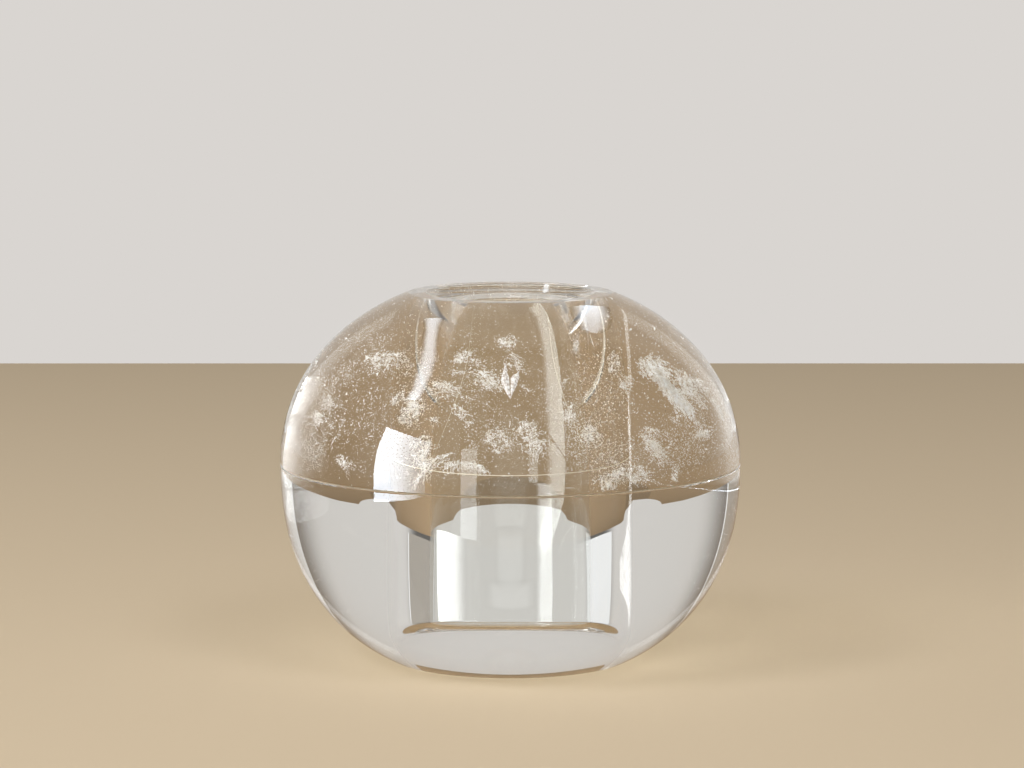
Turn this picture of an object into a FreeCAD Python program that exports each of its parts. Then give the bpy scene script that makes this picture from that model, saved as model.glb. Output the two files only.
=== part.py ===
"""Rose bowl vase of solid crystal, in millimetres, +Z up, origin at the centre of its foot.

The vase is a squat ball made of two polished blocks. The bowl is the lower half, with a blind round
bore and a thick floor. The dome is the upper half, with the same bore running right through it. A
thin film of clear cement between their flat faces joins them, and small chamfers leave a fine V
groove round the seam. Flower stems stand in the bore.
"""
import FreeCAD, Part
import math
import os

from FreeCAD import Vector

# Driving dimensions

outer_radius = 76.0         # at the seam, where the vase is widest
bowl_height = 64.8          # foot to the bowl's flat face
dome_height = 56.3          # the dome's flat face to the rim
cement_thickness = 0.15     # film between the two flat faces
bore_radius = 26.5          # same in both blocks
floor_thickness = 25.0      # crystal under the bore

# How full the two outlines are: 2 is an ellipse, more is squarer

bowl_fullness = 2.31
dome_fullness = 2.085

# Foot, rim and edges

foot_radius = 40.1          # where the bowl's outline would meet the table
foot_round = 1.6            # rounded corner round the foot
rim_wall = 7.1              # bore to where the dome's outline would meet the rim's plane
rim_round = 2.4             # rounded outer corner of the rim
mouth_bevel_width = 1.6     # ground bevel where the bore opens
mouth_bevel_height = 2.6
bore_foot_round = 2.7       # rounded corner between bore and floor
seam_chamfer = 0.35         # on each block's outer edge, makes the V groove

outline_spans = 10          # spline spans on each outline


class Outline:
    """Quarter of a superellipse, from the seam (height 0, radius wide) to radius end_radius at height."""

    def __init__(self, wide, height, end_radius, fullness):
        self.wide = wide
        self.height = height
        self.fullness = fullness
        left = 1 - (end_radius / wide) ** fullness
        self.pole = height / left ** (1 / fullness)

    def point(self, angle):
        """Radius and height at a parameter angle: 0 at the seam, a quarter turn at the pole."""
        power = 2 / self.fullness
        return self.wide * math.cos(angle) ** power, self.pole * math.sin(angle) ** power

    def angle_at(self, height):
        return math.asin((height / self.pole) ** (self.fullness / 2))

    def outward(self, angle):
        """Unit normal that points out of the crystal, as its radial and its upward share."""
        radius, height = self.point(angle)
        power = self.fullness - 1
        across = (radius / self.wide) ** power / self.wide
        along = (height / self.pole) ** power / self.pole
        size = math.hypot(across, along)
        return across / size, along / size

    def corner(self, rounding):
        """Angle at which an arc of this radius leaves the outline to end flat at its full height."""
        low, high = self.angle_at(self.height / 2), self.angle_at(self.height)
        for _ in range(60):
            middle = (low + high) / 2
            centre = self.point(middle)[1] - rounding * self.outward(middle)[1]
            if centre + rounding < self.height:
                low = middle
            else:
                high = middle
        return low


def block_edges(outline, rounding, chamfer, side):
    """Outer edges of a block from its flat face at height 0: chamfer, outline and rounded corner.

    side is 1 when the block stands above its flat face and -1 when it hangs below. Returns the
    edges and the radius at which the last one ends, at the block's full height."""

    def at(radius, height):
        return Vector(radius, 0, side * height)

    first, last = outline.angle_at(chamfer), outline.corner(rounding)
    step = (last - first) / outline_spans
    points = [at(*outline.point(first + step * i)) for i in range(outline_spans + 1)]
    across, along = outline.outward(last)
    start_across, start_along = outline.outward(first)
    curve = Part.BSplineCurve()
    curve.interpolate(
        Points=points,
        InitialTangent=at(-start_along, start_across),
        FinalTangent=at(-along, across),
    )
    end_radius, end_height = outline.point(last)
    centre = (end_radius - rounding * across, end_height - rounding * along)
    middle_across, middle_along = across, along + 1
    size = math.hypot(middle_across, middle_along)
    middle = at(
        centre[0] + rounding * middle_across / size, centre[1] + rounding * middle_along / size
    )
    top = at(centre[0], outline.height)
    edges = [
        Part.LineSegment(at(outline.wide - chamfer, 0), points[0]).toShape(),
        curve.toShape(),
        Part.Arc(points[-1], middle, top).toShape(),
    ]
    return edges, centre[0]


def line(start, end):
    return Part.LineSegment(Vector(start[0], 0, start[1]), Vector(end[0], 0, end[1])).toShape()


def turned(edges, height):
    """The solid that a closed half section sweeps round the axis, lifted to a height."""
    wire = Part.Wire(Part.__sortEdges__(edges))
    solid = Part.Face(wire).revolve(Vector(0, 0, 0), Vector(0, 0, 1), 360)
    solid.translate(Vector(0, 0, height))
    return solid


def crystal_bowl():
    """Lower block: flat foot, full round side, blind bore with a rounded corner at its foot."""
    outline = Outline(outer_radius, bowl_height, foot_radius, bowl_fullness)
    edges, foot_flat = block_edges(outline, foot_round, seam_chamfer, -1)
    foot, floor = -bowl_height, floor_thickness - bowl_height
    corner = bore_foot_round
    slant = corner * math.sqrt(0.5)
    edges += [
        line((foot_flat, foot), (0, foot)),
        line((0, foot), (0, floor)),
        line((0, floor), (bore_radius - corner, floor)),
        Part.Arc(
            Vector(bore_radius - corner, 0, floor),
            Vector(bore_radius - corner + slant, 0, floor + corner - slant),
            Vector(bore_radius, 0, floor + corner),
        ).toShape(),
        line((bore_radius, floor + corner), (bore_radius, 0)),
        line((bore_radius, 0), (outer_radius - seam_chamfer, 0)),
    ]
    return turned(edges, bowl_height)


def crystal_dome():
    """Upper block: flat face down, through bore, bevelled mouth, flat rim with a rounded edge."""
    outline = Outline(outer_radius, dome_height, bore_radius + rim_wall, dome_fullness)
    edges, rim_flat = block_edges(outline, rim_round, seam_chamfer, 1)
    bevel_radius = bore_radius + mouth_bevel_width
    edges += [
        line((rim_flat, dome_height), (bevel_radius, dome_height)),
        line((bevel_radius, dome_height), (bore_radius, dome_height - mouth_bevel_height)),
        line((bore_radius, dome_height - mouth_bevel_height), (bore_radius, 0)),
        line((bore_radius, 0), (outer_radius - seam_chamfer, 0)),
    ]
    return turned(edges, bowl_height + cement_thickness)


def cement_film():
    """Clear cement between the flat faces: it fills them from the bore to the groove's bottom."""
    disc = Part.makeCylinder(outer_radius - seam_chamfer, cement_thickness, Vector(0, 0, bowl_height))
    hole = Part.makeCylinder(bore_radius, cement_thickness, Vector(0, 0, bowl_height))
    return disc.cut(hole)


PIECES = {
    "crystal_bowl": crystal_bowl,
    "crystal_dome": crystal_dome,
    "cement_film": cement_film,
}


def main():
    os.makedirs("parts", exist_ok=True)
    for name, make in PIECES.items():
        shape = make()
        if len(shape.Solids) == 1:
            shape = shape.Solids[0]
        shape.exportStep(os.path.join("parts", name + ".step"))
        box = shape.BoundBox
        print(
            f"{name}: valid {shape.isValid()}, {len(shape.Solids)} solid, {shape.Volume / 1000:.2f} cm3,"
            f" {box.XLength:.2f} wide, {box.ZMin:.2f} to {box.ZMax:.2f} high"
        )
    total = bowl_height + cement_thickness + dome_height
    print(f"whole vase: {2 * outer_radius:.1f} across, {total:.2f} high")


main()
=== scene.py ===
# %% [markdown]
# # A rose bowl vase of solid crystal
#
# The vase is a squat ball of two polished blocks of clear crystal, cemented flat against each other
# at the widest line. A straight round bore, blind at the bottom, holds the flower stems. The lower
# block is flawless. The upper one is full of small white flaws: specks, veils, feathers.
#
# Nearly all that the eye sees of such a block is bent light, so this lesson spends its effort on
# three things: exact surfaces, real surroundings for the crystal to bend, and flaws that lie inside
# the block as real pieces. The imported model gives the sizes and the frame.

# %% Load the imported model
import math
import random

import bmesh
import bpy
from mathutils import Matrix, Vector


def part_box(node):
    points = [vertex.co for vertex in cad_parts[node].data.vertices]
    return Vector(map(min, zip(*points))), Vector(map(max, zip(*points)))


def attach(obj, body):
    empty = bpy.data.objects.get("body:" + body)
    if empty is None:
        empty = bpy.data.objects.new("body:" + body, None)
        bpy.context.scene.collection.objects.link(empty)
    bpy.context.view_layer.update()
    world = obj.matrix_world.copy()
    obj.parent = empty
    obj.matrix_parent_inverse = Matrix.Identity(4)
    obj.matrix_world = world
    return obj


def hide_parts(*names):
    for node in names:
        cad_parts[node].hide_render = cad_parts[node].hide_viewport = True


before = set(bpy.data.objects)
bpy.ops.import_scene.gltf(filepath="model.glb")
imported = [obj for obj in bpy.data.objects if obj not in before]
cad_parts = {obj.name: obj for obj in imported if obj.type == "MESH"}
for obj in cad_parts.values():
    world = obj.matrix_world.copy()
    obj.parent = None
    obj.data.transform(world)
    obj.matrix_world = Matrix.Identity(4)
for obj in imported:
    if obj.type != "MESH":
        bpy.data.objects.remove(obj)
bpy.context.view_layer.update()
print("nodes:", sorted(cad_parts))

# %% [markdown]
# ## Sizes
#
# The blocks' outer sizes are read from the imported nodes. What a box can't tell, such as how full an
# outline is or how round a corner, is written here once, in millimetres and metres.

# %% Sizes of the two blocks
MM = 0.001

bowl_low, bowl_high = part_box("crystal_bowl")
dome_low, dome_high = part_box("crystal_dome")
outer_radius = bowl_high.x
bowl_height = bowl_high.z - bowl_low.z
dome_height = dome_high.z - dome_low.z
seam_bottom = bowl_high.z
seam_top = dome_low.z

bore_radius = 26.5 * MM
floor_thickness = 25.0 * MM
bowl_fullness = 2.31
dome_fullness = 2.085
foot_radius = 40.1 * MM
foot_round = 1.6 * MM
rim_wall = 7.1 * MM
rim_round = 2.4 * MM
mouth_bevel_width = 1.6 * MM
mouth_bevel_height = 2.6 * MM
bore_foot_round = 2.7 * MM
seam_chamfer = 0.35 * MM

print(f"{2000 * outer_radius:.1f} mm across, {1000 * dome_high.z:.2f} mm high")

# %% [markdown]
# ## Materials
#
# A material starts from what the real one is and how its surface was made. Two helpers serve them
# all: one turns the sRGB hex that a colour picker shows into the linear numbers that Cycles
# computes with, and one adds a node with its settings and links.

# %% Helpers for colours and nodes
def linear(hex_colour):
    """Linear red, green, blue and alpha of an sRGB hex colour."""
    channels = [int(hex_colour[i:i + 2], 16) / 255 for i in (1, 3, 5)]
    return tuple(c / 12.92 if c <= 0.04045 else ((c + 0.055) / 1.055) ** 2.4 for c in channels) + (1,)


def add(tree, kind, links=(), **values):
    """A node of this kind. links: (input, node, socket or number) pairs. values: inputs or settings."""
    node = tree.nodes.new("ShaderNode" + kind)
    for name, value in values.items():
        label = name.replace("_", " ")
        if label in node.inputs:
            node.inputs[label].default_value = value
        else:
            setattr(node, name, value)
    for name, source in links:
        if isinstance(source, bpy.types.Node):
            source = source.outputs[0]
        if isinstance(source, bpy.types.NodeSocket):
            tree.links.new(source, node.inputs[name])
        else:
            node.inputs[name].default_value = source
    return node


def blank(name):
    """A material without nodes, and its tree."""
    material = bpy.data.materials.new(name)
    material.use_nodes = True
    tree = material.node_tree
    tree.nodes.clear()
    return material, tree


print("#808080 in linear light:", round(linear("#808080")[0], 3))

# %% [markdown]
# ## Polished crystal
#
# The blocks are lead-free crystal with the index 1.52, ground and polished by hand, which gives the eye
# bent light and a thin mirror. So the shader is Principled with full transmission and roughness 0.
# Polishing leaves waves about a hundredth of a millimetre high and as wide as a finger, so a faint bump
# makes the reflections wander. Cycles can't find a lamp through bent glass, so shadow rays go straight
# through: otherwise the flaws inside would be dark. They lose a little at the lower block, which
# leaves the soft shadow that a heavy crystal throws.

# %% Polished crystal
crystal_ior = 1.52
wave_width, wave_height = 14 * MM, 0.007 * MM


def polished_crystal(name, tint, shade):
    """Clear crystal. shade: what a lamp's light keeps each time it crosses the surface."""
    material, tree = blank(name)
    place = add(tree, "TexCoord")
    waves = add(tree, "TexNoise", [("Vector", place.outputs["Object"])], Scale=1 / wave_width, Detail=1.0)
    polish = add(tree, "Bump", [("Height", waves)], Strength=1.0, Distance=wave_height)
    body = add(tree, "BsdfPrincipled", [("Normal", polish)], Base_Color=linear(tint),
               Roughness=0.0, IOR=crystal_ior, Transmission_Weight=1.0)
    lit_through = add(tree, "BsdfTransparent", Color=linear(shade))
    shadow = add(tree, "LightPath").outputs["Is Shadow Ray"]
    whole = add(tree, "MixShader", [(0, shadow), (1, body), (2, lit_through)])
    add(tree, "OutputMaterial", [(0, whole)])
    return material


clear_crystal = polished_crystal("clear_crystal_polished", "#FBFDFC", "#E2E0DA")
clouded_crystal = polished_crystal("clouded_crystal_polished", "#FBFCFA", "#FAFAF8")
print("finishes:", clear_crystal.name, "and", clouded_crystal.name)

# %% [markdown]
# ## Ground edge
#
# The fine chamfer at the seam is cut on a wheel and left matt, so the eye sees a pale line. Rough glass
# would be exact, but noisy on so thin a strip, so it is matt white, half clear from inside. Real grit
# marks are under a tenth of a millimetre wide and too fine to show: they are drawn half a millimetre wide.

# %% Ground edge
grit_mark = 0.5 * MM


def two_tones(tree, width, detail, dull, bright):
    """A colour that wanders between two tones, in patches this wide."""
    place = add(tree, "TexCoord")
    patches = add(tree, "TexNoise", [("Vector", place.outputs["Object"])], Scale=1 / width, Detail=detail)
    colour = add(tree, "ValToRGB", [(0, patches)])
    for end, position, tone in zip(colour.color_ramp.elements, (0.35, 0.6), (dull, bright)):
        end.position, end.color = position, linear(tone)
    return colour


ground, tree = blank("ground_crystal_edge")
grit = two_tones(tree, grit_mark, 3.0, "#CFC7B6", "#F8F4EA")
matt = add(tree, "BsdfDiffuse", [("Color", grit)], Roughness=0.6)
half_clear = add(tree, "MixShader", [(1, matt), (2, add(tree, "BsdfTransparent"))], Fac=0.65)
inside = add(tree, "NewGeometry").outputs["Backfacing"]
whole = add(tree, "MixShader", [(0, inside), (1, matt), (2, half_clear)])
add(tree, "OutputMaterial", [(0, whole)])
print("finish:", ground.name)

# %% [markdown]
# ## Cemented face
#
# Cement with the crystal's own index wets the face and takes its mirror away, so light goes straight
# through. A glass surface there would mirror the whole inside, and a block left open would be no solid.
# So the face stays, and its finish lets every ray pass.

# %% Cemented face
cemented, tree = blank("cemented_face")
add(tree, "OutputMaterial", [(0, add(tree, "BsdfTransparent"))])
print("finish:", cemented.name)

# %% [markdown]
# ## Outlines
#
# Each block is turned round its axis, so one half section makes it. A sphere squashed by a scale would
# be quicker, but the real outline is fuller than an ellipse, and all that is seen in the crystal depends
# on its slope. So it is a superellipse, sampled most finely near the rim, where it curves fastest.

# %% Outline of a block
side_rings, round_turns = 84, 10


def superellipse(wide, height, end_radius, fullness):
    """A function from a height above the seam to the outline's radius there."""
    left = 1 - (end_radius / wide) ** fullness
    pole = height / left ** (1 / fullness)

    def radius_at(level):
        return wide * max(0.0, 1 - (level / pole) ** fullness) ** (1 / fullness)

    return radius_at


def outline_points(radius_at, height, rounding):
    """(radius, height) points from the flat face's edge over the chamfer and the side to the end's flat."""

    def slope_angle(level):
        step = height * 1e-4
        fall = (radius_at(level - step) - radius_at(level + step)) / (2 * step)
        return math.atan(fall)

    # halve the stretch in which the rounded corner leaves the side until only one height is left
    low, high = height / 2, height - 1e-6
    for _ in range(60):
        level = (low + high) / 2
        if level - rounding * math.sin(slope_angle(level)) + rounding < height:
            low = level
        else:
            high = level
    start = slope_angle(low)
    centre_radius = radius_at(low) - rounding * math.cos(start)
    centre_height = low - rounding * math.sin(start)
    points = [(radius_at(0) - seam_chamfer, 0.0)]
    for i in range(side_rings + 1):
        level = seam_chamfer + (low - seam_chamfer) * math.sin(i / side_rings * math.pi / 2)
        points.append((radius_at(level), level))
    for i in range(1, round_turns + 1):
        angle = start + (math.pi / 2 - start) * i / round_turns
        across, along = rounding * math.cos(angle), rounding * math.sin(angle)
        points.append((centre_radius + across, centre_height + along))
    return points


bowl_side = superellipse(outer_radius, bowl_height, foot_radius, bowl_fullness)
dome_side = superellipse(outer_radius, dome_height, bore_radius + rim_wall, dome_fullness)
print(f"halfway down the bowl its radius is {1000 * bowl_side(bowl_height / 2):.1f} mm")

# %% [markdown]
# ## From section to solid
#
# Blender's Screw modifier could turn the section, but it knows nothing of finishes. Built face by face,
# each span of the section can have its own, a point on the axis stays one vertex, and the solid is
# closed with all faces outwards, which tells Cycles where the glass is. Smooth shading goes over the
# curve, and edges over 20 degrees stay sharp.

# %% Turned solid
segments, sharp_edge = 320, math.radians(20)
on_axis = 1e-7


def placed(name, data):
    """An object of this mesh, lamp or camera, in the scene."""
    piece = bpy.data.objects.new(name, data)
    bpy.context.scene.collection.objects.link(piece)
    return piece


def piece_of(name, vertices, faces, *materials):
    """An object in the scene, with a mesh of these vertices and faces."""
    mesh = bpy.data.meshes.new(name)
    mesh.from_pydata(vertices, [], faces)
    for material in materials:
        mesh.materials.append(material)
    return placed(name, mesh)


def face_outwards(mesh):
    work = bmesh.new()
    work.from_mesh(mesh)
    bmesh.ops.recalc_face_normals(work, faces=work.faces)
    work.to_mesh(mesh)
    work.free()


def turned(name, points, finishes, *materials):
    """A closed solid of revolution from (radius, height) points. finishes: span to material slot."""
    vertices, rings, faces, slots = [], [], [], []
    for radius, level in points:
        start = len(vertices)
        if radius < on_axis:
            vertices.append((0, 0, level))
            rings.append([start] * segments)
            continue
        for k in range(segments):
            angle = 2 * math.pi * k / segments
            vertices.append((radius * math.cos(angle), radius * math.sin(angle), level))
        rings.append(list(range(start, start + segments)))
    if min(points[0][0], points[-1][0]) > on_axis:
        rings.append(rings[0])
    for span, (first, second) in enumerate(zip(rings[:-1], rings[1:])):
        for k in range(segments):
            after = (k + 1) % segments
            corners = list(dict.fromkeys([first[k], first[after], second[after], second[k]]))
            if len(corners) > 2:
                faces.append(corners)
                slots.append(finishes.get(span, 0))
    piece = piece_of(name, vertices, faces, *materials)
    piece.data.polygons.foreach_set("material_index", slots)
    piece.data.shade_smooth()
    piece.data.set_sharp_from_angle(angle=sharp_edge)
    face_outwards(piece.data)
    print(f"{name}: {len(vertices)} vertices, {len(faces)} faces")
    return piece


print(f"at the seam one segment is {2000 * math.pi * outer_radius / segments:.2f} mm wide")

# %% [markdown]
# ## Bowl
#
# The lower block carries everything. Its foot is flat and polished, the bore ends 25 mm above the
# table, and a drill's corner is never square: the rounded one at the foot of the bore draws the bright
# and brown line that shows there. Cutting a cylinder out with a boolean would leave long thin faces,
# which glass shows as ripples, so bore and side are one turned section.

# %% Bowl
corner_turns = 8

outside = [(r, seam_bottom - h) for r, h in outline_points(bowl_side, bowl_height, foot_round)]
corner = []
for i in range(corner_turns + 1):
    angle = -math.pi / 2 + math.pi / 2 * i / corner_turns
    across, along = bore_foot_round * math.cos(angle), bore_foot_round * math.sin(angle)
    corner.append((bore_radius - bore_foot_round + across, floor_thickness + bore_foot_round + along))
bowl_points = [(0, 0)] + outside[::-1] + [(bore_radius, seam_bottom)] + corner[::-1] + [(0, floor_thickness)]
cement_span = len(outside)
bowl = turned("bowl_block", bowl_points, {cement_span: 1}, clear_crystal, cemented)
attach(bowl, "root")
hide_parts("crystal_bowl")

# %% [markdown]
# ## Dome
#
# The upper block has the bore right through it, a bevel where it opens and a rounded rim. Its lowest
# span is the ground chamfer and its last one the cemented face, so each gets its own finish.

# %% Dome
rim = dome_high.z
outside = [(r, seam_top + h) for r, h in outline_points(dome_side, dome_height, rim_round)]
dome_points = outside + [
    (bore_radius + mouth_bevel_width, rim),
    (bore_radius, rim - mouth_bevel_height),
    (bore_radius, seam_top),
]
dome_finishes = {0: 2, len(dome_points) - 1: 1}
dome = turned("dome_block", dome_points, dome_finishes, clouded_crystal, cemented, ground)
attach(dome, "root")
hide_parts("crystal_dome")

# %% [markdown]
# ## Cement film
#
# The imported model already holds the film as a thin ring, and nothing about its shape needs more. It
# keeps its mesh and gets its finish: clear on both flat faces, pale where its edge meets the air.

# %% Cement film
clear_cement, tree = blank("clear_cement")
edge = add(tree, "BsdfDiffuse", Color=linear("#EFE7D2"))
axes = add(tree, "SeparateXYZ", [(0, add(tree, "NewGeometry").outputs["Normal"])])
upright = add(tree, "Math", [(0, axes.outputs["Z"])], operation="ABSOLUTE")
flat = add(tree, "Math", [(0, upright), (1, 0.5)], operation="GREATER_THAN")
mixed = add(tree, "MixShader", [(0, flat), (1, edge), (2, add(tree, "BsdfTransparent"))])
add(tree, "OutputMaterial", [(0, mixed)])

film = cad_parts["cement_film"]
film.data.materials.clear()
film.data.materials.append(clear_cement)
print("cement film:", film.name)

# %% [markdown]
# ## Camera
#
# The camera stands where the photographer's did: 17 radii away and 8.5 degrees above the seam. These
# numbers come from a pinhole camera fitted to the ellipses of the mouth and the seam. The seam's
# centre isn't the picture's centre, so the camera is turned by two small angles, with no shift.

# %% Camera
photo_width, photo_height = 1024, 768
seam_centre_column, seam_centre_row = 510.3, 461.64
focal_pixels = 3901.9
camera_distance = 17 * outer_radius
camera_elevation = math.radians(8.503)

camera = placed("camera", bpy.data.cameras.new("camera"))
bpy.context.scene.camera = camera
camera.data.sensor_width = 36
camera.data.lens = focal_pixels / photo_width * camera.data.sensor_width
camera.data.clip_start = 0.01
seam_centre = Vector((0, 0, seam_bottom))
back = Vector((0, -math.cos(camera_elevation), math.sin(camera_elevation)))
camera.location = seam_centre + back * camera_distance
raise_angle = math.atan((seam_centre_row - photo_height / 2) / focal_pixels)
turn_angle = math.atan((photo_width / 2 - seam_centre_column) / focal_pixels)
camera.rotation_euler = (math.pi / 2 - camera_elevation + raise_angle, 0, -turn_angle)
print(f"camera {camera_distance:.2f} m from the seam's centre, lens {camera.data.lens:.0f} mm")

# %% [markdown]
# ## Flaws inside the dome
#
# The dome is clouded crystal: where it once cracked and healed, countless small hollows scatter light
# and look white. A noise texture on its surface would lie there like a sticker, and smoke in a volume
# would have no grain. So the flaws are what they are: thousands of tiny closed flakes inside the block,
# which the curved surface bends and mirrors as it should. They stop at the seam, because only the
# upper block has them.
#
# To put a flaw where the photograph shows it, a line of sight is followed through that pixel to the
# dome, bent there by the law of refraction, and followed to the chosen depth in millimetres.

# %% Line of sight into the crystal
crystal_skin = 0.3 * MM


def within_dome(point):
    """Whether a point lies in the dome's crystal, clear of all its faces."""
    radius, level = math.hypot(point.x, point.y), point.z
    if not seam_top + crystal_skin < level < rim - 3 * crystal_skin:
        return False
    return bore_radius + crystal_skin < radius < dome_side(level - seam_top) - 2 * crystal_skin


def met_dome(column, row):
    """Where a pixel's line of sight meets the dome, its course up to there, and the surface's normal."""
    turn = camera.rotation_euler.to_matrix()
    ahead = Vector(((column - photo_width / 2) / focal_pixels, (photo_height / 2 - row) / focal_pixels, -1))
    course = (turn @ ahead).normalized()

    def in_air(way):
        point = camera.location + course * way
        if not 0 < point.z - seam_top < dome_height:
            return True
        return math.hypot(point.x, point.y) > dome_side(point.z - seam_top)

    # step by millimetres from just before the vase, then halve the last step
    far = camera_distance - 1.2 * outer_radius
    while in_air(far):
        far += MM
    near = far - MM
    for _ in range(20):
        middle = (near + far) / 2
        near, far = (middle, far) if in_air(middle) else (near, middle)
    entry = camera.location + course * far
    level, tiny = entry.z - seam_top, 0.01 * MM
    fall = (dome_side(level - tiny) - dome_side(level + tiny)) / (2 * tiny)
    normal = Vector((entry.x, entry.y, 0)).normalized() + Vector((0, 0, fall))
    return entry, course, normal.normalized()


def line_of_sight(column, row):
    """Where the sight line through a pixel of the photograph enters the dome, and its course inside."""
    entry, course, normal = met_dome(column, row)
    towards = -course.dot(normal)
    bend = 1 / crystal_ior
    inner = bend * course + (bend * towards - math.sqrt(1 - bend ** 2 * (1 - towards ** 2))) * normal
    return entry, inner


def pixel_frame(column, row, depth):
    """A point this many mm under the surface, one pixel's step right and down there, and the course."""
    sights = [line_of_sight(column + x, row + y) for x, y in ((0, 0), (2, 0), (0, 2))]
    here, right, down = (entry + inner * depth * MM for entry, inner in sights)
    return here, (right - here) / 2, (down - here) / 2, sights[0][1]


spot = pixel_frame(512, 440, 5)
print("one photo pixel 5 mm inside the dome:", round(spot[1].length * 1000, 3), "mm")

# %% [markdown]
# ## Flakes, strokes and clouds
#
# A flake is a double pyramid on a triangle, which is the smallest closed solid with a long axis. A
# stroke is a short chain of flakes that wanders, as the rim of a healed crack does. A cloud is many
# strokes that lie near one sheet and mostly point the same way, gathered round a few denser knots, in a
# haze of specks. Sizes across the picture are in pixels of the photograph, as they were measured.

# %% Strokes of flakes
chance = random.Random(1536)
pixel = outer_radius / 230
flake_step, flake_scatter = 1.15, 0.5       # along a stroke and off its line, in pixels
sheet_depth = 0.25 * MM


def stroke(frame_here, start, heading, steps, wander, size, flakes):
    """A chain of flakes from a start in pixels. heading in degrees, 0 to the right and 90 downwards."""
    here, right, down, course = frame_here
    x, y = start
    lean = chance.gauss(0, 0.3)
    for _ in range(steps):
        turn = math.radians(heading)
        x += flake_step * math.cos(turn)
        y += flake_step * math.sin(turn)
        axis = (right * math.cos(turn) + down * math.sin(turn)).normalized()
        axis = (axis + course * (lean + chance.gauss(0, 0.2))).normalized()
        depth = lean * (x - start[0]) * pixel + chance.gauss(0, sheet_depth)
        point = here + right * (x + chance.gauss(0, flake_scatter))
        point += down * (y + chance.gauss(0, flake_scatter))
        point += course * depth
        width = size * pixel * chance.uniform(0.4, 1.3)
        flakes.append((point, axis, width * chance.uniform(1.2, 2.4), width))
        heading += chance.gauss(0, wander)


print(f"a photo pixel is {pixel / MM:.2f} mm wide at the vase")

# %% Clouds of strokes and haze
knot_size, tightness = 0.12, 0.42       # how near haze and strokes keep to a knot, as a share of the cloud
haze_depth = 0.7 * MM
shortest_hop, longest_hop, hop_turn = 0.45, 7, 45
stroke_share = 0.4      # of the strokes in the table, because the haze takes the place of the rest


def grains(frame_here, half_width, half_height, tilt, heading, many, knots):
    """Specks of a haze. They wander off from a few knots in short and a few long hops, so they clump."""
    here, right, down, course = frame_here
    slope, place, found = math.radians(tilt), None, []
    while len(found) < many:
        lost = place is None or chance.random() < 0.04
        if lost or math.hypot(place[0] / half_width, place[1] / half_height) > 1.15:
            knot = chance.choice(knots)
            place = (chance.gauss(knot[0], half_width * knot_size),
                     chance.gauss(knot[1], half_height * knot_size))
        hop = min(longest_hop, shortest_hop * chance.paretovariate(1.3))
        turn = math.radians(heading - tilt + chance.gauss(0, hop_turn))
        if chance.random() < 0.5:
            hop = -hop
        place = (place[0] + hop * math.cos(turn), place[1] + hop * math.sin(turn))
        x = place[0] * math.cos(slope) - place[1] * math.sin(slope)
        y = place[0] * math.sin(slope) + place[1] * math.cos(slope)
        found.append(here + right * x + down * y + course * chance.gauss(0, haze_depth))
    return found


def cloud(column, row, depth, half_width, half_height, tilt, strokes, heading, spread, flakes, haze,
          size=0.75, wander=7, length=4, knots=7, thickness=8.0):
    """Haze and strokes round a few knots in a tilted ellipse.

    length: of most strokes, in flakes. thickness: of the haze, in specks for each pixel."""
    frame_here = pixel_frame(column, row, depth)
    slope = math.radians(tilt)
    centres = []
    for _ in range(knots):
        reach, angle = math.sqrt(chance.random()), chance.uniform(0, 2 * math.pi)
        centres.append((half_width * reach * math.cos(angle), half_height * reach * math.sin(angle)))
    many = round(thickness * half_width * half_height)
    haze += grains(frame_here, half_width, half_height, tilt, heading, many, centres)
    for _ in range(round(strokes * stroke_share)):
        centre = chance.choice(centres)
        x = centre[0] + chance.gauss(0, tightness * half_width)
        y = centre[1] + chance.gauss(0, tightness * half_height)
        if (x / half_width) ** 2 + (y / half_height) ** 2 > 1.5:
            continue
        start = (x * math.cos(slope) - y * math.sin(slope), x * math.sin(slope) + y * math.cos(slope))
        steps = min(max(1, round(chance.expovariate(1 / length))), 4 * length)
        stroke(frame_here, start, chance.gauss(heading, 0.7 * spread), steps, wander, size, flakes)


print(f"two thirds of a haze's specks lie in a sheet {2 * haze_depth / MM:.1f} mm deep")

# %% [markdown]
# ## One mesh for many flakes
#
# Tens of thousands of objects would choke Blender, and instances don't export as one piece. So all
# flakes of a kind are one mesh. One too near a face of the dome is left out, because glass that another
# solid pierces renders wrongly.

# %% Mesh of flakes
def flaw(name, vertices, faces, material):
    """A piece inside the dome."""
    piece = piece_of(name, vertices, faces, material)
    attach(piece, "root")
    print(f"{name}: {len(faces)} faces")
    return piece


def flake_piece(name, flakes, material, double=True):
    """One mesh of all these flakes that lie in the dome, each (centre, long axis, length, width).

    double: whether a flake is a double pyramid. A single one, with four faces, is enough for a speck."""
    vertices, faces = [], []
    for centre, axis, length, width in flakes:
        if not within_dome(centre):
            continue
        across = axis.orthogonal().normalized()
        other = axis.cross(across)
        start, spin, flat = len(vertices), chance.uniform(0, math.pi), chance.uniform(0.35, 1)
        ring = start + (2 if double else 1)
        vertices += [centre + axis * length / 2, centre - axis * length / 2][:ring - start]
        for k in range(3):
            angle = 2 * math.pi * k / 3
            along, aside = math.cos(angle) * width / 2, math.sin(angle) * width / 2 * flat
            first = across * math.cos(spin) + other * math.sin(spin)
            second = other * math.cos(spin) - across * math.sin(spin)
            low = 0 if double else -0.3 * length
            vertices.append(centre + first * along + second * aside + axis * low)
        for k in range(3):
            one, two = ring + k, ring + (k + 1) % 3
            faces += [(start, one, two), (start + 1, two, one)] if double else [(start, one, two)]
        if not double:
            faces.append((ring + 2, ring + 1, ring))
    flaw(name, vertices, faces, material)


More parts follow.
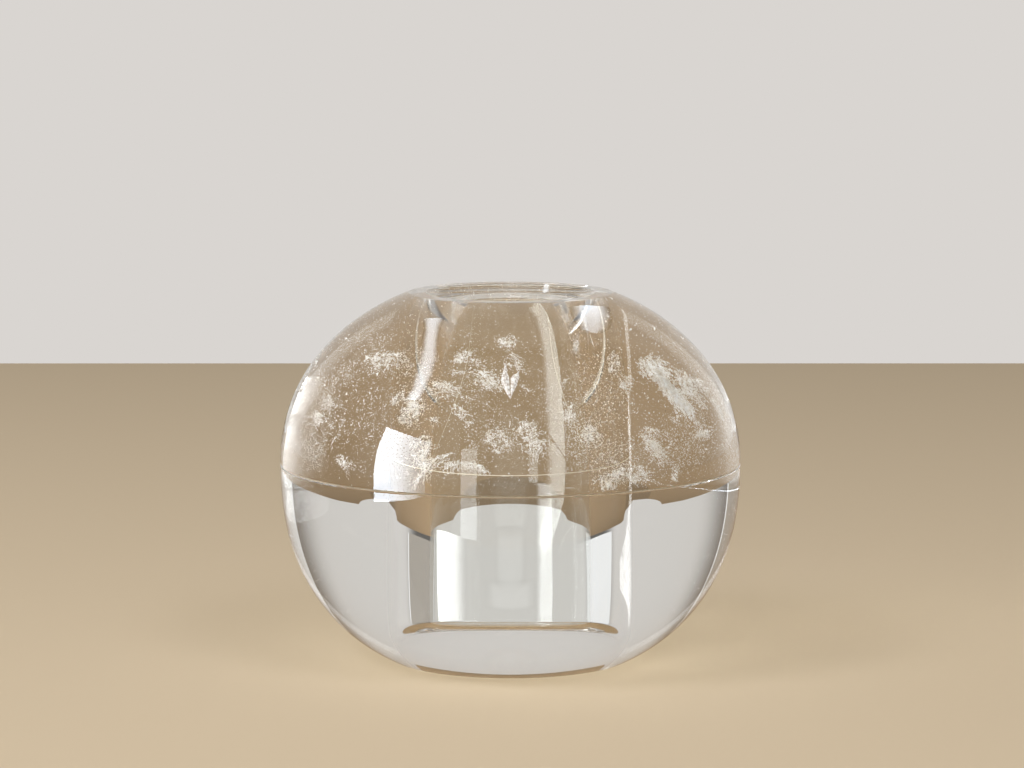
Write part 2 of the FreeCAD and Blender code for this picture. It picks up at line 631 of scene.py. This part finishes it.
# %% [markdown]
# ## White of a healed crack
#
# A healed crack is a sheet of tiny hollows that scatter light both back and through, which the eye
# takes for white. Real hollows would need far more bounces than a render can afford, so a flake is matt
# white, with a third of its light coming through. Scattered light goes on to the next hollow and isn't
# lost, so one hardly shades another: over half a lamp's light passes each flake. Patches a millimetre
# or two wide are a little brighter or duller, as in the real veils.

# %% White of a healed crack
light_through, lamp_through = 0.35, 0.55


def healed_crack(name, light, shade, patch_mm):
    """A scattering white in patches of two tones."""
    material, tree = blank(name)
    colour = two_tones(tree, patch_mm * MM, 2.0, shade, light)
    back = add(tree, "BsdfDiffuse", [("Color", colour)])
    through = add(tree, "BsdfTranslucent", [("Color", colour)])
    both = add(tree, "MixShader", [(1, back), (2, through)], Fac=light_through)
    clear = add(tree, "BsdfTransparent")
    shadow = add(tree, "LightPath").outputs["Is Shadow Ray"]
    passing = add(tree, "Math", [(0, shadow), (1, lamp_through)], operation="MULTIPLY")
    whole = add(tree, "MixShader", [(0, passing), (1, both), (2, clear)])
    add(tree, "OutputMaterial", [(0, whole)])
    return material


healed_white = healed_crack("healed_crack_white", "#FFFFFF", "#EAE4DA", 1.5)
print("finish:", healed_white.name)

# %% [markdown]
# ## Fine specks
#
# Through the whole dome drift single specks, a tenth to half a millimetre wide, many faint ones and
# few bright ones. In places they crowd into fields. A particle system could strew them, but wouldn't
# keep them clear of the faces. Each is a pyramid of its own here.

# %% Fine specks all through the dome, and fields where they crowd
loose_specks, finest_speck, widest_speck = 11000, 0.4, 1.5
field_share, field_reach = 1.35, 0.6
specks = []


def speck(point, finest, flakes):
    """A flake that points anywhere. finest: the least width of one, in pixels."""
    axis = Vector((chance.gauss(0, 1), chance.gauss(0, 1), chance.gauss(0, 1))).normalized()
    width = pixel * min(widest_speck, finest + chance.expovariate(3.6))
    flakes.append((point, axis, width * chance.uniform(0.9, 1.8), width))


while len(specks) < loose_specks:
    radius = outer_radius * math.sqrt(chance.random())
    angle = chance.uniform(0, 2 * math.pi)
    level = seam_top + dome_height * chance.random()
    point = Vector((radius * math.cos(angle), radius * math.sin(angle), level))
    if within_dome(point):
        speck(point, finest_speck, specks)

# column, row, half width, half height, how many, depth from and to in mm
for column, row, wide, tall, many, shallow, deep in (
        (311, 452, 15, 18, 480, 1, 9), (317, 426, 18, 22, 600, 1, 10), (330, 398, 16, 18, 450, 1, 10),
        (345, 374, 14, 14, 350, 2, 10), (388, 362, 30, 13, 700, 2, 12), (370, 338, 24, 16, 500, 2, 12),
        (372, 410, 26, 40, 700, 2, 12), (420, 385, 25, 40, 500, 3, 14), (480, 390, 35, 45, 700, 3, 16),
        (505, 436, 30, 18, 500, 3, 12), (560, 400, 24, 40, 700, 3, 14), (570, 440, 34, 24, 800, 3, 12),
        (600, 400, 28, 44, 900, 3, 14), (612, 460, 34, 20, 700, 2, 10), (668, 450, 30, 26, 900, 1, 10),
        (700, 440, 22, 30, 1000, 1, 9), (690, 400, 22, 24, 500, 1, 9), (430, 470, 50, 14, 400, 2, 10)):
    here, right, down, course = pixel_frame(column, row, (shallow + deep) / 2)
    for _ in range(round(field_share * many)):
        across, along = chance.gauss(0, wide * field_reach), chance.gauss(0, tall * field_reach)
        point = here + right * across + down * along
        point += course * (deep - shallow) / 2 * MM * chance.uniform(-1, 1)
        speck(point, finest_speck, specks)
flake_piece("scattered_specks", specks, healed_white, double=False)

# %% [markdown]
# ## Clouds and veils
#
# What draws the eye is some thirty white clouds, each with its own place, tilt and grain, and one big
# slanting veil at the right. A noise texture can't be told where to be dense, so each was measured on
# the photograph, and strokes and haze are strewn within it.

# %% Clouds and veils in front, where the photograph shows them
veils, haze = [], []
# column, row, depth in mm, half width, half height, tilt, strokes, heading, spread
for numbers in (
        (467, 360, 9, 13, 8, 0, 190, -35, 50), (482, 377, 11, 21, 9, 25, 330, 32, 30),
        (441, 390, 10, 14, 8, 10, 230, 15, 50), (453, 372, 9, 5, 2.5, 0, 26, 10, 30),
        (458, 411, 8, 8, 4.5, 40, 130, 42, 20), (468, 424, 8, 3, 3, 0, 14, 60, 50),
        (434, 421, 6, 6, 3, 30, 20, 30, 40), (423, 444, 5, 8, 8, 0, 90, -40, 50),
        (408, 414, 5, 12, 14, 0, 420, -35, 40), (400, 398, 6, 10, 5, -35, 60, -35, 30),
        (497, 441, 7, 13, 11, 20, 170, 40, 45), (502, 342, 9, 9, 5, 45, 85, 48, 30),
        (511, 341, 8, 6, 6, 0, 60, 120, 50), (513, 361, 8, 10, 7, 40, 90, 40, 25),
        (524, 388, 9, 5, 2, 35, 16, 35, 15), (524, 431, 8, 11, 9, 40, 110, -50, 50),
        (536, 446, 7, 10, 7, 0, 170, 60, 60), (569, 412, 8, 6, 10, 0, 120, 90, 70),
        (564, 381, 8, 4, 2, -20, 14, -20, 20), (592, 431, 8, 11, 11, 0, 90, 60, 70),
        (614, 363, 8, 6, 11, 0, 80, 90, 60), (627, 383, 9, 7, 7, 0, 110, 30, 50),
        (654, 444, 8, 9, 18, -32, 520, 55, 32), (612, 474, 7, 13, 12, 0, 420, 75, 55),
        (638, 474, 7, 11, 8, 10, 330, 35, 45), (676, 476, 6, 4, 7, 20, 100, -70, 25),
        (655, 431, 8, 4, 2, 20, 14, 20, 20), (673, 419, 8, 4, 2, 25, 20, 25, 20),
        (343, 461, 5, 8, 5, 25, 170, 30, 45), (328, 404, 5, 4, 9, 0, 70, 80, 60),
        (341, 423, 5, 2.5, 4, 0, 22, 90, 30), (388, 362, 8, 24, 9, 0, 110, 0, 90)):
    cloud(*numbers, veils, haze)
# the field of short crooked strokes on the left
for column, row, wide, tall, strokes in (
        (311, 450, 12, 16, 100), (317, 425, 14, 18, 150), (328, 400, 12, 14, 80)):
    cloud(column, row, 4, wide, tall, 0, strokes, -60, 40, veils, haze,
          wander=20, length=2, knots=16, thickness=0.6)
# the big slanting veil on the right: body, lower tongue, upper tongue
cloud(652, 366, 9, 15, 11, 30, 900, 38, 18, veils, haze, size=1.1, length=5, knots=12)
cloud(671, 391, 10, 24, 6, 47, 1750, 46, 14, veils, haze, size=1.1, length=5, knots=12, thickness=12.0)
cloud(690, 386, 9, 21, 7, 55, 700, 56, 18, veils, haze, size=1.0, length=5, knots=10)
print(f"clouds in front: {len(veils)} flakes, {len(haze)} specks of haze")

# %% [markdown]
# ## Clouds all round
#
# The photograph shows only the front, but the real crystal is clouded all round. So the same kind of
# cloud is made in front at random and turned to the sides and the back.

# %% Clouds at the sides and the back
finest_haze = 0.28

for turn in range(48, 331, 18):
    some, some_haze = [], []
    place = (chance.uniform(430, 590), chance.uniform(330, 465), chance.uniform(4, 14))
    across, along, tilt = chance.uniform(7, 20), chance.uniform(4, 9), chance.uniform(-70, 70)
    cloud(*place, across, along, tilt, 2 * across * along, tilt + chance.gauss(0, 20), 28, some, some_haze)
    spin = Matrix.Rotation(math.radians(turn), 3, "Z")
    veils += [(spin @ point, spin @ axis, size, width) for point, axis, size, width in some]
    haze += [spin @ point for point in some_haze]
flake_piece("streaks", veils, healed_white)

haze_flakes = []
for point in haze:
    speck(point, finest_haze, haze_flakes)
flake_piece("haze", haze_flakes, healed_white, double=False)

# %% [markdown]
# ## Feathers
#
# Where two cracks met, the healed seam frays into a feather: strokes that leave a curved quill on
# one side. The two feathers of the photograph lie low in the middle of the dome.

# %% Feathers
feathers = []
barb_turn, barb_wander, quill_fray = 7, 6, 0.7


def feather(quill, depth, barb, fan, strokes, size=0.8):
    """Strokes that leave a quill, a list of pixels. barb: their length in pixels, fan: heading range."""
    middle = quill[len(quill) // 2]
    frame_here = pixel_frame(*middle, depth)
    for i in range(strokes):
        share = i / (strokes - 1) * (len(quill) - 1)
        k = min(int(share), len(quill) - 2)
        x, y = (quill[k][j] + (quill[k + 1][j] - quill[k][j]) * (share - k) - middle[j] for j in (0, 1))
        heading = fan[0] + (fan[1] - fan[0]) * i / (strokes - 1) + chance.gauss(0, barb_turn)
        start = (x + chance.gauss(0, quill_fray), y + chance.gauss(0, quill_fray))
        steps = max(2, round(barb * chance.uniform(0.3, 1)))
        stroke(frame_here, start, heading, steps, barb_wander, size, feathers)


feather([(453, 453), (441, 456), (430, 464), (421, 475), (417, 482)], 6, 11, (165, 120), 70)
feather([(448, 458), (440, 462), (431, 470), (425, 479)], 6.5, 7, (150, 115), 40, size=0.6)
feather([(444, 462), (455, 460), (468, 461), (481, 465)], 6, 12, (100, 60), 75)
feather([(470, 461), (478, 463), (482, 469)], 6, 8, (120, 30), 30)
feather([(450, 395), (461, 396), (472, 397), (486, 404), (501, 414)], 8, 3, (20, 45), 34, size=0.6)
feather([(515, 442), (523, 448), (532, 455)], 7, 5, (30, 45), 22)
feather([(337, 434), (334, 440), (332, 447)], 5, 4, (110, 110), 14)
flake_piece("feathers", feathers, healed_white)

# %% [markdown]
# ## Needles, dashes and painted shade
#
# A few flaws stand alone: straight hollow needles and short bright dashes. The dark flakes are painted
# shade: the shaded sides that white flaws show. Each is one long flake, laid between two points that were
# measured on the photograph.

# %% Needles, dashes and dark flakes of painted shade
def dashes(rows):
    """Single flakes. rows: both ends' column and row, depth in mm and width in pixels."""
    flakes = []
    for x1, y1, x2, y2, depth, wide in rows:
        here, right, down, _ = pixel_frame((x1 + x2) / 2, (y1 + y2) / 2, depth)
        span = right * (x2 - x1) + down * (y2 - y1)
        flakes.append((here, span.normalized(), span.length, wide * pixel))
    return flakes


needles = dashes((
    (590, 334, 594.6, 350, 7, 0.7), (594, 382, 597.5, 396, 8, 0.7), (605, 380, 617, 384, 7, 0.7),
    (564, 488, 574, 488, 3, 1.4), (500, 476, 507, 476, 4, 1.2), (446, 474, 450, 473.5, 4, 1.2),
    (368, 436.5, 374, 436, 4, 1.2), (612, 447, 632, 443, 7, 0.5), (586, 448, 624, 441, 9, 0.4),
    (578.2, 360.8, 579.6, 364.8, 6, 1.9)))
# painted shade: dark flakes where white flaws show a shaded side
dark = dashes((
    (581.4, 358.4, 582.6, 358.9, 6, 1.8), (553, 486, 554, 486, 3, 1.6), (378, 424, 378.8, 424.4, 4, 1.3),
    (442, 376, 461, 371, 9, 0.45), (461, 371.5, 479, 368, 9, 0.45), (388, 407, 401, 398, 5, 0.6),
    (401, 398.5, 412, 391, 5, 0.5), (393, 420, 405, 411, 5, 0.6), (665, 411, 666, 411, 5, 1.0)))
flake_piece("hollow_needles", needles, healed_white)
flake_piece("painted_shade_flakes", dark, healed_crack("painted_shade_dark_flake", "#5A4630", "#2B2118", 0.5))

# %% [markdown]
# ## Leaf-shaped fracture
#
# Under the mouth lies one bright fracture like a leaf or a split heart. It is a crack that opened
# from a central groove, so it is modelled as two thin faceted lobes that meet along that groove.

# %% Leaf-shaped fracture
leaf_points, leaf_faces = [], []


def faceted_lobe(outline, crown, depth, thickness):
    """A thin closed lens over an outline in pixels, with one raised point in front and one behind."""
    here, right, down, course = pixel_frame(*crown, depth)
    start, count = len(leaf_points), len(outline)
    for x, y in outline:
        leaf_points.append(here + right * (x - crown[0]) + down * (y - crown[1]))
    leaf_points.append(here - course * thickness * MM * 0.7)
    leaf_points.append(here + course * thickness * MM * 0.3)
    for k in range(count):
        one, two = start + k, start + (k + 1) % count
        leaf_faces.extend([(start + count, two, one), (start + count + 1, one, two)])


faceted_lobe([(504.5, 366), (506.5, 371), (509, 377), (509.8, 388), (510.2, 399), (507, 394), (503, 387),
              (501, 380), (502.5, 373)], (505.5, 381), 7, 1.6)
faceted_lobe([(510.6, 378), (513.5, 374.5), (516, 374), (519.3, 370.5), (518.8, 379), (516, 387), (513, 393),
              (510.6, 399)], (514.3, 381), 7, 1.6)
faceted_lobe([(503, 361), (506.5, 366), (508, 372), (505, 368)], (505.6, 367), 7.4, 0.8)
leaf_white = healed_crack("leaf_fracture_white", "#FFFFFF", "#B9ABA0", 0.7)
leaf = flaw("leaf_fracture", leaf_points, leaf_faces, leaf_white)
face_outwards(leaf.data)

# %% [markdown]
# ## Floor
#
# The crystal shows the floor upside down right up to the rim, and the line where the floor ends behind
# the vase is what the eye takes for the horizon. So the floor ends in a straight edge at that distance.
# It is a plain sand-coloured board. Bent rays meet it a little deeper in colour, which is what the
# crystal of the photograph shows.

# %% Floor
def stage_finish(name, seen_colour, bent_colour):
    """A plain matt board: one colour straight from the camera, another where the crystal bends it."""
    material, tree = blank(name)
    direct = add(tree, "BsdfDiffuse", Color=linear(seen_colour))
    bent = add(tree, "BsdfDiffuse", Color=linear(bent_colour))
    straight = add(tree, "LightPath").outputs["Is Camera Ray"]
    mixed = add(tree, "MixShader", [(0, straight), (1, bent), (2, direct)])
    add(tree, "OutputMaterial", [(0, mixed)])
    return material


# in radii of the vase; the straight back edge sweeps further back at its sides
floor_back, floor_side_back, floor_reach, floor_half_width = 10.4, 15.0, 18.0, 4.0
sweep_width, sweep_power, sweep_steps, round_steps = 0.9, 1.4, 14, 40
air_under_foot = 0.3 * MM

sweep = []
for i in range(sweep_steps + 1):
    share = i / sweep_steps
    y = floor_back + (floor_side_back - floor_back) * share ** sweep_power
    sweep.append((floor_half_width * (1 + sweep_width * share), y))
corners = [(-x, y) for x, y in sweep[::-1]] + sweep
first = math.atan2(floor_side_back, math.sqrt(floor_reach ** 2 - floor_side_back ** 2))
for i in range(round_steps + 1):
    angle = first - (math.pi + 2 * first) * i / round_steps
    corners.append((floor_reach * math.cos(angle), floor_reach * math.sin(angle)))
corners = [(x * outer_radius, y * outer_radius, -air_under_foot) for x, y in corners]
sand_board = stage_finish("matt_sand_board", "#CDBBA0", "#AC9272")
floor = piece_of("pale_floor", corners, [list(range(len(corners)))[::-1]], sand_board)
print(f"floor: {len(corners)} corners, ends {floor_back * outer_radius:.2f} m behind the vase")

# %% [markdown]
# ## Painted shadow on the far floor
#
# Under the seam the photograph shows the far floor once more, through both blocks: brown patches by the
# bore, darker than the rest because that stretch lies in shade. The shade is painted: a darker board with
# a round front lies on that stretch, and only bent and mirrored rays see it.

# %% Painted shadow on the floor, far behind the vase
def hide_from(piece, *rays):
    """Keep a piece of the stage out of these kinds of rays."""
    for kind in rays:
        setattr(piece, "visible_" + kind, False)


shadow_front, shadow_half_width, shadow_steps, shadow_roundness = 5.87, 4.3, 12, 2.6
corners = []
for i in range(shadow_steps + 1):
    share = 1 - 2 * i / shadow_steps
    y = shadow_front + (floor_back - shadow_front) * abs(share) ** shadow_roundness
    corners.append((shadow_half_width * share * outer_radius, y * outer_radius, 0.2 * MM))
# painted shadow: a darker colour for the stretch of far floor that lies in shade
painted_shadow_board = stage_finish("painted_shadow_finish", "#968065", "#968065")
dull = piece_of("floor_with_painted_shadow", corners, [tuple(range(len(corners)))], painted_shadow_board)
hide_from(dull, "camera", "diffuse", "shadow")
print(f"dull floor: starts {shadow_front * outer_radius:.2f} m behind the vase")

# %% [markdown]
# ## Surroundings
#
# Clear crystal is only as good as the room it stands in. Behind the vase is a pale plain wall. To both
# sides it gets dark, and this dark is what draws the lower block's edges. The camera sees the plain
# wall, and matt surfaces get an even level from it.

# %% Surroundings
world = bpy.data.worlds.new("studio")
bpy.context.scene.world = world
world.use_nodes = True
tree = world.node_tree
tree.nodes.clear()
axes = add(tree, "SeparateXYZ", [(0, add(tree, "TexCoord").outputs["Generated"])])
azimuth = add(tree, "Math", [(0, axes.outputs["X"]), (1, axes.outputs["Y"])], operation="ARCTAN2")
wall_colour = linear("#D9D5D1")
off_axis = add(tree, "Math", [(0, azimuth)], operation="ABSOLUTE")
behind = add(tree, "MapRange", [(0, off_axis)], interpolation_type="SMOOTHSTEP",
             From_Min=math.radians(42), From_Max=math.radians(66), To_Min=0.95, To_Max=0.16)
room = add(tree, "MapRange", [(0, off_axis)], interpolation_type="SMOOTHSTEP",
           From_Min=math.radians(85), From_Max=math.radians(110), To_Min=0.0, To_Max=0.4)
strength = add(tree, "Math", [(0, behind), (1, room)], operation="ADD")
bent = add(tree, "Background", [("Strength", strength)], Color=wall_colour)
level = add(tree, "Background", Color=wall_colour, Strength=0.3)
plain = add(tree, "Background", Color=wall_colour, Strength=1.0)
path = add(tree, "LightPath")
diffuse, straight = path.outputs["Is Diffuse Ray"], path.outputs["Is Camera Ray"]
matt = add(tree, "MixShader", [(0, diffuse), (1, bent), (2, level)])
seen = add(tree, "MixShader", [(0, straight), (1, matt), (2, plain)])
add(tree, "OutputWorld", [(0, seen)])
print("surroundings:", len(tree.nodes), "nodes")

# %% [markdown]
# ## Cards and ribbons
#
# Product photographers build the look of glass with cards: each bright or dark shape on the vase is one
# of them, mirrored on the surface or bent through the bore. These stand where light paths traced back
# from the photograph's bright shapes meet them. All measures are in radii of the vase.
#
# - the softbox at the front left is mirrored as the bright patch, and passed on inside as the streaks
# - a white board at the right and a grey one at the left show beside the bore and along the edges
# - a white wall behind the camera draws the pale bands inside the dome's outline
# - a ribbon and a window overhead are mirrored as the band at the left and the blot at the right

# %% Sheets that glow
daylight = "#E8F3FF"


def soft_edge(tree, share, reach):
    """1 in the middle of a share from 0 to 1, and 0 at both its ends, over this much at either end."""
    from_middle = add(tree, "Math", [(0, share), (1, 0.5)], operation="SUBTRACT")
    distance = add(tree, "Math", [(0, from_middle)], operation="ABSOLUTE")
    edge = add(tree, "MapRange", [(0, distance)], interpolation_type="SMOOTHSTEP",
               From_Min=0.5, From_Max=0.5 - reach)
    return edge.outputs[0]


def glowing(name, vertices, faces, shares, colour, unseen_by):
    """A sheet of light beside the vase, out of the picture: its nodes and its glow.

    shares: how far along and across the sheet each vertex lies."""
    material, tree = blank(name + "_paper")
    glow = add(tree, "Emission", Color=linear(colour))
    add(tree, "OutputMaterial", [(0, glow)])
    piece = piece_of(name, vertices, faces, material)
    layer = piece.data.uv_layers.new(name="along")
    for loop in piece.data.loops:
        layer.data[loop.index].uv = shares[loop.vertex_index]
    hide_from(piece, "camera", "diffuse", "shadow", unseen_by)
    return tree, glow


def along_and_across(tree):
    """The shares of a glowing sheet's vertices, as two sockets."""
    axes = add(tree, "SeparateXYZ", [(0, add(tree, "UVMap", uv_map="along"))])
    return axes.outputs["X"], axes.outputs["Y"]


print("daylight in linear light:", [round(c, 2) for c in linear(daylight)[:3]])

# %% Ribbons that the dome mirrors
ribbon_distance = 6 * outer_radius
ribbon_overlap, ribbon_fade = 0.35, 0.4


def mirrored_point(column, row):
    """The point overhead that the dome's surface mirrors at this pixel."""
    entry, course, normal = met_dome(column, row)
    return entry + (course - 2 * course.dot(normal) * normal) * ribbon_distance


def ribbon(name, rows, strengths):
    """A ribbon of light overhead, placed so that the dome mirrors it where the photograph is bright.

    rows: row, left and right column of the bright shape. The ribbon runs from one strength at its first
    row to the other at its last, and fades towards both long edges, which stand out a third further."""
    points = []
    for row, *columns in rows:
        left, right = (mirrored_point(column, row) for column in columns)
        over = (right - left) * ribbon_overlap
        points += [left - over, right + over]
    last = len(rows) - 1
    faces = [(2 * k, 2 * k + 1, 2 * k + 3, 2 * k + 2) for k in range(last)]
    shares = [(k / last, side) for k in range(last + 1) for side in (0, 1)]
    tree, glow = glowing(name, points, faces, shares, daylight, "transmission")
    along, across = along_and_across(tree)
    ramp = add(tree, "MapRange", [(0, along)], To_Min=strengths[0], To_Max=strengths[1])
    edge = soft_edge(tree, across, ribbon_fade)
    soft = add(tree, "Math", [(0, ramp), (1, edge)], operation="MULTIPLY")
    tree.links.new(soft.outputs[0], glow.inputs["Strength"])


ribbon("strip_over_left", [(318, 428, 441), (330, 427, 437), (345, 425, 435), (360, 422, 434),
                           (375, 418, 430), (388, 414, 424), (400, 407, 418)], (6.0, 13.0))
ribbon("window_over_right", [(306, 576, 600), (318, 580, 604), (328, 584, 603), (333, 592, 600)], (5.2, 5.2))
print(f"ribbons: {ribbon_distance:.2f} m from the dome")

# %% [markdown]
# ## Lamps
#
# Two softboxes, nearly a metre wide, light the scene at a level at which colours render as written.
# The crystal doesn't mirror or bend them: the cards of the next step do that.

# %% Lamps
softbox_side = 0.9


def softbox(name, place, watts):
    """A square lamp at this place in metres that faces the vase."""
    light = bpy.data.lights.new(name, "AREA")
    light.shape = "RECTANGLE"
    light.size, light.size_y = softbox_side, softbox_side
    light.energy = watts
    piece = placed(name, light)
    piece.location = place
    piece.rotation_euler = (Vector(place) - Vector((0, 0, 0.06))).to_track_quat("Z", "Y").to_euler()
    hide_from(piece, "camera", "glossy", "transmission")


softbox("key_softbox", (-1.35, -1.0, 1.68), 37)
softbox("fill_softbox", (1.0, -1.45, 1.82), 25)
print("lamps:", [light.name for light in bpy.data.lights])

# %% [markdown]
# ## Cards
#
# A card is a plain upright rectangle. The crystal bends it, and the bent image is what the eye sees, so
# its ends and heights were set with light paths, and its strength with the colours in the photograph.

# %% Cards that the crystal bends
def card(name, start, end, low, high, strength, colour="#FFFFFF", fade=0.0, rest=0.0, soft=0.0,
         mirrored=False):
    """An upright card from start to end, each across and behind, and from low to high, in radii.

    fade: the share of its length over which it dims towards its end, down to rest of its strength.
    soft: the share of its width and of its height over which it fades out at either end. mirrored:
    whether it shows as a mirror image on the vase's surface and not through it."""
    corners = [(*start, low), (*end, low), (*end, high), (*start, high)]
    vertices = [tuple(c * outer_radius for c in corner) for corner in corners]
    shares = ((0, 0), (1, 0), (1, 1), (0, 1))
    unseen_by = "transmission" if mirrored else "glossy"
    tree, glow = glowing(name, vertices, [(0, 1, 2, 3)], shares, colour, unseen_by)
    glow.inputs["Strength"].default_value = strength
    if not fade and not soft:
        return
    along, across = along_and_across(tree)
    if fade:
        level = add(tree, "MapRange", [(0, along)], interpolation_type="SMOOTHSTEP",
                    From_Min=1 - fade, To_Min=strength, To_Max=rest * strength)
    else:
        sides, ends = soft_edge(tree, along, soft), soft_edge(tree, across, soft)
        share = add(tree, "Math", [(0, sides), (1, ends)], operation="MULTIPLY")
        level = add(tree, "Math", [(0, share), (1, strength)], operation="MULTIPLY")
    tree.links.new(level.outputs[0], glow.inputs["Strength"])


card("softbox_face", (-3.1, -1.7), (-2.6, -3.4), 0.3, 2.45, 19.5, daylight, fade=0.8, rest=0.15,
     mirrored=True)
card("softbox_from_inside", (-3.85, -0.61), (-2.8, -2.71), 0.42, 2.75, 14.0, fade=0.55)
card("softbox_foot", (-3.11, -2.35), (-2.24, -3.19), 0.0, 0.42, 5.0)
card("white_board_right", (5.43, 3.81), (6.2, -2.0), 0.43, 6.0, 0.9)
card("grey_board_left", (-5.43, 3.81), (-6.2, -2.0), 0.45, 6.0, 1.0, "#AAA39A")
card("bright_gap_left", (-5.36, 3.92), (-5.43, 3.81), 0.45, 6.0, 1.1)
card("white_behind_camera", (-8.5, -16.0), (8.5, -16.0), 1.5, 3.7, 1.9, soft=0.25)
print("sheets of light:", [m.name for m in bpy.data.materials if m.name.endswith("_paper")])

# %% [markdown]
# ## Render limits
#
# A ray may cross the dome, the bore and the bowl, and turn back inside several times. With too few
# bounces such a path ends black, so the limits are high.

# %% Render limits and view
scene = bpy.context.scene
scene.view_settings.view_transform = "Standard"
scene.cycles.max_bounces = 24
scene.cycles.transmission_bounces = 24
scene.cycles.glossy_bounces = 12
scene.cycles.transparent_max_bounces = 32
print("bounces:", scene.cycles.max_bounces)
